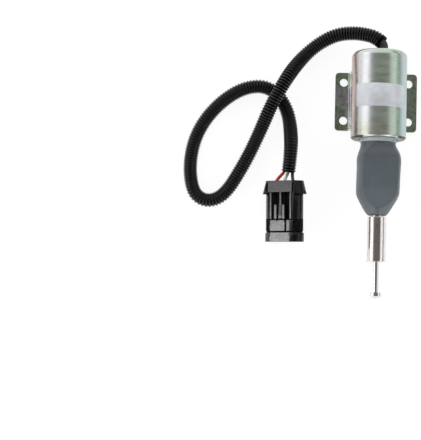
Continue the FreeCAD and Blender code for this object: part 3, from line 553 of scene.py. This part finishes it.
def make_conduit(track):
    """Slit corrugated tube: a waved strip rolled round the line, with its two edges nearly meeting."""
    pitches = int(track.length / (PITCH * MM))
    rings = pitches * len(WAVE)
    step = track.length / pitches
    bm = bmesh.new()
    bmesh.ops.create_grid(bm, x_segments=rings, y_segments=CONDUIT_AROUND, size=1)
    rib = bm.verts.layers.float.new(RIB_HEIGHT)
    ring_frames = {}
    for vert in bm.verts:
        ring = round((vert.co.x + 1) / 2 * rings)
        if ring not in ring_frames:
            share, radius = WAVE[ring % len(WAVE)]
            distance = min((ring // len(WAVE) + share) * step, track.length)
            if distance < COLLAR_LENGTH * MM:
                radius = COLLAR_RADIUS
            ring_frames[ring] = (track.at(distance), radius, distance)
        track_frame, radius, distance = ring_frames[ring]
        slit = SLIT_AT + SLIT_SWAY * math.sin(distance / (SLIT_SWAY_LENGTH * MM))
        angle = slit + SLIT_WIDTH / 2 + (vert.co.y + 1) / 2 * (math.tau - SLIT_WIDTH)
        vert.co = round_place(track_frame, angle, radius)
        vert[rib] = (radius - VALLEY) / (CREST - VALLEY)
    bmesh.ops.recalc_face_normals(bm, faces=bm.faces)
    middle = track.at(track.length / 2)[0]
    face = min(bm.faces, key=lambda f: (f.calc_center_median() - middle).length)
    if face.normal.dot(face.calc_center_median() - middle) < 0:
        bmesh.ops.reverse_faces(bm, faces=bm.faces)
    made = piece("conduit_loom", bm)
    modifier(made, "SOLIDIFY", thickness=CONDUIT_WALL * MM, offset=-1)
    return made


# The three wires between the conduit and the connector

WIRE_RADIUS = 1.3
# Colour, place in the connector's row, and places to the right and above in the conduit's mouth
WIRES = [("red", -9.1, -1.55, -0.3), ("white", 0.0, -0.35, -0.5), ("black", 9.1, 1.1, -0.3)]
# How far before the conduit's end, and how far apart the wires lie there
IN_CONDUIT = [(9.0, 1.5), (0.5, 2.9)]
OUT_OF_MOUTH = 1.5
# Share of the wire's own place in the row, and how far along the connector
IN_CONNECTOR = [(0.80, -1.2), (1, 4.0), (1, 9.0), (1, 15.0)]


def make_wires(track):
    """Red, white and black wires from inside the conduit's end into the connector's seals."""
    stations = [(track.at(track.length - before_end * MM), apart) for before_end, apart in IN_CONDUIT]
    (inside, _), (mouth, _) = stations
    ahead = (mouth[0] - inside[0]).normalized()
    wires = []
    for colour, row_place, right, above in WIRES:
        points = [(place + (up * above - left * right) * (apart * MM)) / MM
                  for (place, left, up), apart in stations]
        points.append(points[-1] + ahead * OUT_OF_MOUTH)
        points += [connector_point(row_place * share, along) for share, along in IN_CONNECTOR]
        wire = smooth_line("wire_" + colour + "_run", points, 12)
        wire.data.bevel_depth = WIRE_RADIUS * MM
        wire.data.bevel_resolution = 5
        wire.data.use_fill_caps = True
        dress(wire, colour, "housing")
        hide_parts("wire_" + colour)
        wires.append(wire)
    return wires


# The three leads under one shrunk sleeve, from the can's grommet round into the conduit's mouth

LEADS_ROUTE = [(2.3, 35.2, 24.525), (2.4, 40.0, 24.525), (2.5, 43.6, 25.2), (-0.4, 46.6, 25.9),
               (-6.4, 50.6, 24.2)]
LEADS_RADIUS, LEAD_LOBE, LOBE_TURN = 3.95, 0.35, 0.4
WAIST, WAIST_FROM, WAIST_OVER = 0.14, 0.35, 0.3     # shares of the radius, and of the length


def make_lead_bundle():
    """Sleeve that shows its three leads as three soft lobes and draws in towards the conduit."""
    track = track_along("lead_bundle_line", LEADS_ROUTE)
    bm = bmesh.new()
    bmesh.ops.create_grid(bm, x_segments=36, y_segments=48, size=1)
    for vert in bm.verts:
        share = (vert.co.x + 1) / 2
        angle = (vert.co.y + 1) / 2 * math.tau
        drawn_in = 1.0 - WAIST * share_of(share, WAIST_FROM, WAIST_OVER)
        radius = (LEADS_RADIUS + LEAD_LOBE * math.cos(3 * angle + LOBE_TURN)) * drawn_in
        vert.co = round_place(track.at(share * track.length), angle, radius)
    close_ends(bm)
    made = piece("lead_bundle", bm)
    dress(made, "lead", "housing")
    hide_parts("lead_sleeve")


# The light ring and the boot in front of it

RING_REAR, RING_FRONT, RING_BORE = -32.3, -36.1, 12.3


def make_ring():
    made = piece("boot_clamp_ring", turned([
        (RING_BORE, RING_REAR, 0), (15.15, RING_REAR, 0.25), (15.15, -33.0, 0.2), (14.85, -33.2, 0.1),
        (14.75, -35.2, 0.3), (14.95, -35.5, 0.2), (14.95, RING_FRONT, 0.25), (RING_BORE, RING_FRONT, 0)]))
    dress(made, "ring", "housing")
    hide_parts("boot_ring")


# Distances along the boot are measured forwards from the ring's front

BOOT_SHAPE = [(0.0, 13.9), (2.5, 14.2), (5.0, 15.1), (8.5, 16.6), (12.0, 17.6), (14.5, 17.8), (24.0, 17.6),
              (34.0, 17.5), (38.2, 17.4), (41.5, 17.2), (44.5, 16.2), (47.5, 14.7), (50.3, 13.1),
              (54.3, 10.8), (56.8, 9.1), (58.3, 7.7), (58.9, 6.6), (59.0, 5.0)]
BOOT_IN_RING, BOOT_BORE, BOOT_WALL = 1.2, 4.95, 1.6
BOOT_LENGTH, BOOT_LIP, BOOT_STEPS = BOOT_SHAPE[-1][0], 58.0, 84
BOOT_AROUND = 120
BOOT_TURN = math.radians(3)
NECK_HEIGHT, FLAT_HEIGHT = 13.6, 9.8        # half thickness at the ring and between the flat sides
SINK_FROM, SINK_OVER = 0.4, 12.0            # where it sinks from the one to the other
SWELL, SWELL_FROM, SWELL_OVER = 1.7, 37.0, 15.5     # how much it swells again towards its tip
FLAT_ROUNDING = 0.18                        # of the edges beside the flat sides
LEAN, LEAN_RISE, LEAN_FALL_FROM, LEAN_FALL = 0.9, 9.0, 18.0, 34.0       # comes, stays and goes
DENT, DENTS_PER_METRE, DENTS_FROM = 0.10, 60, 3.0


def boot_radius(distance):
    """Radius of the boot's round at a distance, smooth between the given ones."""
    shape = BOOT_SHAPE
    for i in range(len(shape) - 1):
        (d0, r0), (d1, r1) = shape[i], shape[i + 1]
        if distance <= d1:
            t = (distance - d0) / (d1 - d0)
            before = shape[i - 1] if i else (d0 - (d1 - d0), r0 - (r1 - r0))
            after = shape[i + 2] if i + 2 < len(shape) else (d1 + (d1 - d0), r1 + (r1 - r0))
            m0 = (r1 - before[1]) / (d1 - before[0]) * (d1 - d0)
            m1 = (after[1] - r0) / (after[0] - d0) * (d1 - d0)
            return ((2 * t ** 3 - 3 * t * t + 1) * r0 + (t ** 3 - 2 * t * t + t) * m0
                    + (3 * t * t - 2 * t ** 3) * r1 + (t ** 3 - t * t) * m1)
    return shape[-1][1]


def flat_height(distance):
    """Half thickness of the boot between its flat sides at a distance."""
    sink = smooth(share_of(distance, SINK_FROM, SINK_OVER))
    swell = SWELL * max(0.0, distance - SWELL_FROM) / SWELL_OVER
    return NECK_HEIGHT + (FLAT_HEIGHT - NECK_HEIGHT) * sink + swell


def boot_lean(distance):
    """How far the soft boot leans to the right of the axis at a distance."""
    rise = smooth(share_of(distance, 0, LEAN_RISE))
    fall = share_of(distance, LEAN_FALL_FROM, LEAN_FALL)
    return LEAN * rise * (1 - fall)


def held_to(value, limit, rounding):
    """A value held to a limit, rounded where it meets it and free from four roundings below it."""
    over = (value - limit) / rounding
    if over <= -4:
        return value
    return limit - rounding * math.log1p(math.exp(-over))


def boot_rings(bm):
    """Round tube from inside the ring to the boot's bore, as (vertices, distance) rings."""
    stations = [BOOT_LIP * i / BOOT_STEPS for i in range(BOOT_STEPS + 1)] + [58.3, 58.6, 58.85, BOOT_LENGTH]
    profile = [(distance, boot_radius(distance)) for distance in stations] + [(BOOT_LENGTH, BOOT_BORE)]
    at, width = -BOOT_IN_RING, profile[0][1]
    bmesh.ops.create_circle(bm, segments=BOOT_AROUND, radius=width * MM,
                            matrix=Matrix.Rotation(math.radians(-90), 4, "X"))
    bmesh.ops.translate(bm, verts=bm.verts, vec=(0, (RING_FRONT - at) * MM, 0))
    rings = [(bm.verts[:], at)]
    edges = bm.edges[:]
    for distance, radius in profile:
        grown = bmesh.ops.extrude_edge_only(bm, edges=edges)["geom"]
        verts = [g for g in grown if isinstance(g, bmesh.types.BMVert)]
        edges = [g for g in grown if isinstance(g, bmesh.types.BMEdge)]
        bmesh.ops.translate(bm, verts=verts, vec=(0, (at - distance) * MM, 0))
        bmesh.ops.scale(bm, verts=verts, vec=(radius / width, 1, radius / width))
        rings.append((verts, distance))
        at, width = distance, radius
    return rings


def make_boot():
    """Rubber boot: round at its neck and tip, pressed flat above and below between them."""
    bm = bmesh.new()
    turn = Matrix.Rotation(BOOT_TURN, 4, "Y")
    for verts, distance in boot_rings(bm):
        limit = flat_height(max(0.0, distance))
        for vert in verts:
            height = held_to(abs(vert.co.z) / MM, limit, FLAT_ROUNDING)
            vert.co.z = math.copysign(height * MM, vert.co.z)
        bmesh.ops.transform(bm, verts=verts, matrix=turn)
        bmesh.ops.translate(bm, verts=verts, vec=(boot_lean(distance) * MM, 0, 0))
    bmesh.ops.recalc_face_normals(bm, faces=bm.faces)
    for vert in bm.verts:
        if vert.co.y < (RING_FRONT - DENTS_FROM) * MM:
            vert.co += vert.normal * (noise.noise(vert.co * DENTS_PER_METRE) * DENT * MM)
    bmesh.ops.translate(bm, verts=bm.verts, vec=AXIS * MM)
    made = piece("boot_skin", bm)
    modifier(made, "SOLIDIFY", thickness=BOOT_WALL * MM, offset=-1)
    dress(made, "boot")
    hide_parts("boot")
    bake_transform(made)


# The label

LABEL_HALF = math.radians(59.0) * CAN_RADIUS
LABEL_FRONT, LABEL_REAR, LABEL_CORNER = -9.5, 8.9, 1.0
LABEL_SKEW, LABEL_GAP, LABEL_THICKNESS = 0.018, 0.03, 0.10
LABEL_SLICES = 48


def make_label():
    """Bare foil label, wrapped round the can a little out of square."""
    bm = bmesh.new()
    outline = [bm.verts.new((x * MM, y * MM, 0)) for x, y in
               ((-LABEL_HALF, LABEL_FRONT), (LABEL_HALF, LABEL_FRONT),
                (LABEL_HALF, LABEL_REAR), (-LABEL_HALF, LABEL_REAR))]
    bm.faces.new(outline)
    round_corners(bm, outline, LABEL_CORNER)
    for i in range(1, LABEL_SLICES):
        cut = (2 * i / LABEL_SLICES - 1) * LABEL_HALF
        bmesh.ops.bisect_plane(bm, geom=bm.verts[:] + bm.edges[:] + bm.faces[:],
                               plane_co=(cut * MM, 0, 0), plane_no=(1, 0, 0))
    radius = (CAN_RADIUS + LABEL_GAP) * MM
    for vert in bm.verts:
        angle = vert.co.x / (CAN_RADIUS * MM)
        vert.co = Vector((radius * math.sin(angle), vert.co.y - vert.co.x * LABEL_SKEW,
                          AXIS.z * MM + radius * math.cos(angle)))
    bmesh.ops.recalc_face_normals(bm, faces=bm.faces)
    if max(bm.verts, key=lambda v: v.co.z).link_faces[0].normal.z < 0:
        bmesh.ops.reverse_faces(bm, faces=bm.faces)
    made = piece("label_foil", bm)
    modifier(made, "SOLIDIFY", thickness=LABEL_THICKNESS * MM, offset=1)
    modifier(made, "BEVEL", width=0.03 * MM, segments=1, limit_method="ANGLE", angle_limit=math.radians(50))
    dress(made, "foil", "housing")
    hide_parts("label")


# The springs

WIRE_AROUND, STEPS_A_TURN = 12, 28


def make_spring(name, replaced, body, wire, outer, turns, front, rear):
    """Round wire spring between two places on the axis."""
    radius = outer - wire / 2
    steps = turns * STEPS_A_TURN
    rise = (rear - front - wire) * MM
    bm = bmesh.new()
    bmesh.ops.create_circle(bm, segments=WIRE_AROUND, radius=wire / 2 * MM,
                            matrix=Matrix.Translation((radius * MM, 0, 0)))
    bmesh.ops.translate(bm, verts=bm.verts, vec=(0, (front + wire / 2) * MM, 0))
    bmesh.ops.spin(bm, geom=bm.verts[:] + bm.edges[:], cent=(0, 0, 0), axis=(0, 1, 0),
                   dvec=(0, rise / steps, 0), angle=math.tau * turns, steps=steps)
    close_ends(bm)
    bmesh.ops.translate(bm, verts=bm.verts, vec=AXIS * MM)
    made = piece(name, bm)
    dress(made, "steel", body)
    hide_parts(replaced)
    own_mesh(made)


# The CAD nodes that are shown as they are

NODE_FINISHES = {
    "housing_can": "housing_can", "mounting_bracket": "mounting_bracket", "front_plate": "iron",
    "rear_plate": "iron", "backstop": "iron", "guide_tube": "brass", "bobbin": "nylon",
    "pull_winding": "enamel", "hold_winding": "enamel", "coil_wrap": "tape", "coil_leads": "lead",
    "wire_grommet": "grommet", "plunger": "rod", "coupling_sleeve": "chrome", "sleeve_washer": "rod",
    "retaining_ring": "steel", "link_rod": "rod", "rod_nut": "iron", "connector_housing": "connector",
    "terminal_lock": "lock",
}


def dress_nodes():
    for name, key in NODE_FINISHES.items():
        dress(node[name], key)
    soften(node["mounting_bracket"], 0.35, 3)
    soften(node["connector_housing"], 0.25, 2)
    soften(node["terminal_lock"], 0.25, 2)
    for number in (1, 2, 3):
        blade = node["terminal_blade_%d" % number]
        dress(blade, "tin")
        soften(blade, 0.08, 1)
        dress(node["wire_seal_%d" % number], "seal")


# Floor, light and world

def make_floor():
    """Floor that is white where it is seen or mirrored, and pale paper to all other light."""
    bm = bmesh.new()
    bmesh.ops.create_grid(bm, x_segments=1, y_segments=1, size=4)
    bmesh.ops.translate(bm, verts=bm.verts, vec=(0, 0, -0.0003))
    floor = piece("floor", bm, smooth_shaded=False)
    material = bpy.data.materials.new("floor_white")
    tree = NodeTree(material)
    tree.nodes.clear()
    rays = tree.add("LightPath").outputs
    seen = tree.worked("MAXIMUM", rays["Is Camera Ray"], rays["Is Glossy Ray"])
    seen = tree.worked("MAXIMUM", seen, rays["Is Transmission Ray"])
    shadowed = tree.add("BsdfDiffuse", Color=(0.14, 0.14, 0.14))
    white = tree.joined("AddShader", shadowed, tree.add("Emission", Strength=0.90))
    paper = tree.add("BsdfDiffuse", Color=(0.80, 0.80, 0.80))
    pick = tree.joined("MixShader", paper, white, Fac=seen)
    tree.add("OutputMaterial", Surface=pick.outputs[0])
    floor.data.materials.append(material)


def make_world():
    """White behind the object; around it a studio that is bright at the sides, dim overhead and in front."""
    world = bpy.data.worlds.new("studio")
    bpy.context.scene.world = world
    tree = NodeTree(world)
    tree.nodes.clear()
    x, y, z = tree.axes(tree.add("TexCoord").outputs["Generated"])
    right_wall = tree.times(tree.ranged(x, 0.50, 0.62), tree.ranged(z, 0.40, 0.20))
    left_wall = tree.times(tree.ranged(x, -0.45, -0.62), tree.ranged(y, 0.45, 0.25))
    ceiling = tree.times(tree.ranged(x, -0.80, -0.50), tree.ranged(x, 0.78, 0.54),
                         tree.ranged(y, 0.46, 0.22), tree.ranged(y, -0.70, -0.40))
    front_wall = tree.times(tree.ranged(x, -0.34, -0.18), tree.ranged(x, 0.30, 0.14),
                            tree.ranged(y, -0.30, -0.50), tree.ranged(z, 0.02, 0.12))
    colour = (0.92, 0.92, 0.92)
    for patch, patch_colour in (
            (right_wall, (0.27, 0.28, 0.28)), (left_wall, (0.60, 0.60, 0.62)),
            (ceiling, (0.150, 0.148, 0.132)), (front_wall, (0.115, 0.095, 0.075))):
        colour = tree.mixed(patch, colour, patch_colour)
    rays = tree.add("LightPath").outputs
    lit, mirrored = 1.7, 1.0            # strength of the studio as light, and in reflections
    strength = tree.ranged(rays["Is Glossy Ray"], 0, 1, lit, mirrored)
    studio = tree.add("Background", Color=colour, Strength=strength)
    pick = tree.joined("MixShader", studio, tree.add("Background"), Fac=rays["Is Camera Ray"])
    tree.add("OutputWorld", Surface=pick.outputs[0])


def make_lamp(name, place, size, power, aim=(-0.04, -0.05, 0.02), spread=180):
    """Square cornered lamp, its place, size and aim in metres, its power in watts."""
    data = bpy.data.lights.new(name, "AREA")
    data.shape = "RECTANGLE"
    data.spread = math.radians(spread)
    data.size, data.size_y = size
    data.energy = power
    lamp = bpy.data.objects.new(name, data)
    lamp.location = place
    lamp.rotation_mode = "QUATERNION"
    lamp.rotation_quaternion = (Vector(aim) - Vector(place)).to_track_quat("-Z", "Y")
    bpy.context.scene.collection.objects.link(lamp)


# Putting it together

bpy.context.scene.view_settings.view_transform = "Standard"
make_camera()
conduit_track = track_along("conduit_line", CONDUIT_ROUTE)
conduit = make_conduit(conduit_track)
dress(conduit, "conduit", "housing")
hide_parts("conduit")
wires = make_wires(conduit_track)
make_lead_bundle()
make_boot()
make_ring()
make_label()
make_spring("return_coil", "return_spring", "housing", wire=0.9, outer=3.1, turns=11,
            front=-29.95, rear=24.15)
make_spring("overtravel_coil", "overtravel_spring", "plunger", wire=1.2, outer=5.1, turns=5,
            front=-128.45, rear=-104.05)
dress_nodes()
make_floor()
make_world()
make_lamp("key", (-1.03, 0.0, 0.52), (1.5, 0.66), 2.6)
make_lamp("front_left", (-0.66, -0.95, 0.42), (0.62, 0.5), 1.2)
make_lamp("front_right", (0.56, -0.95, 0.42), (0.62, 0.5), 1.2)
make_lamp("fill", (1.0, 0.0, 0.56), (1.5, 0.60), 0.55)
make_lamp("table_lamp", (-0.389, -0.151, 0.174), (0.10, 0.10), 0.0055, aim=(-0.08, -0.115, 0.02), spread=26)
make_lamp("loop_lamp", (0.25, -0.25, 0.26), (0.06, 0.22), 0.007, aim=(-0.112, -0.045, 0.006), spread=8)
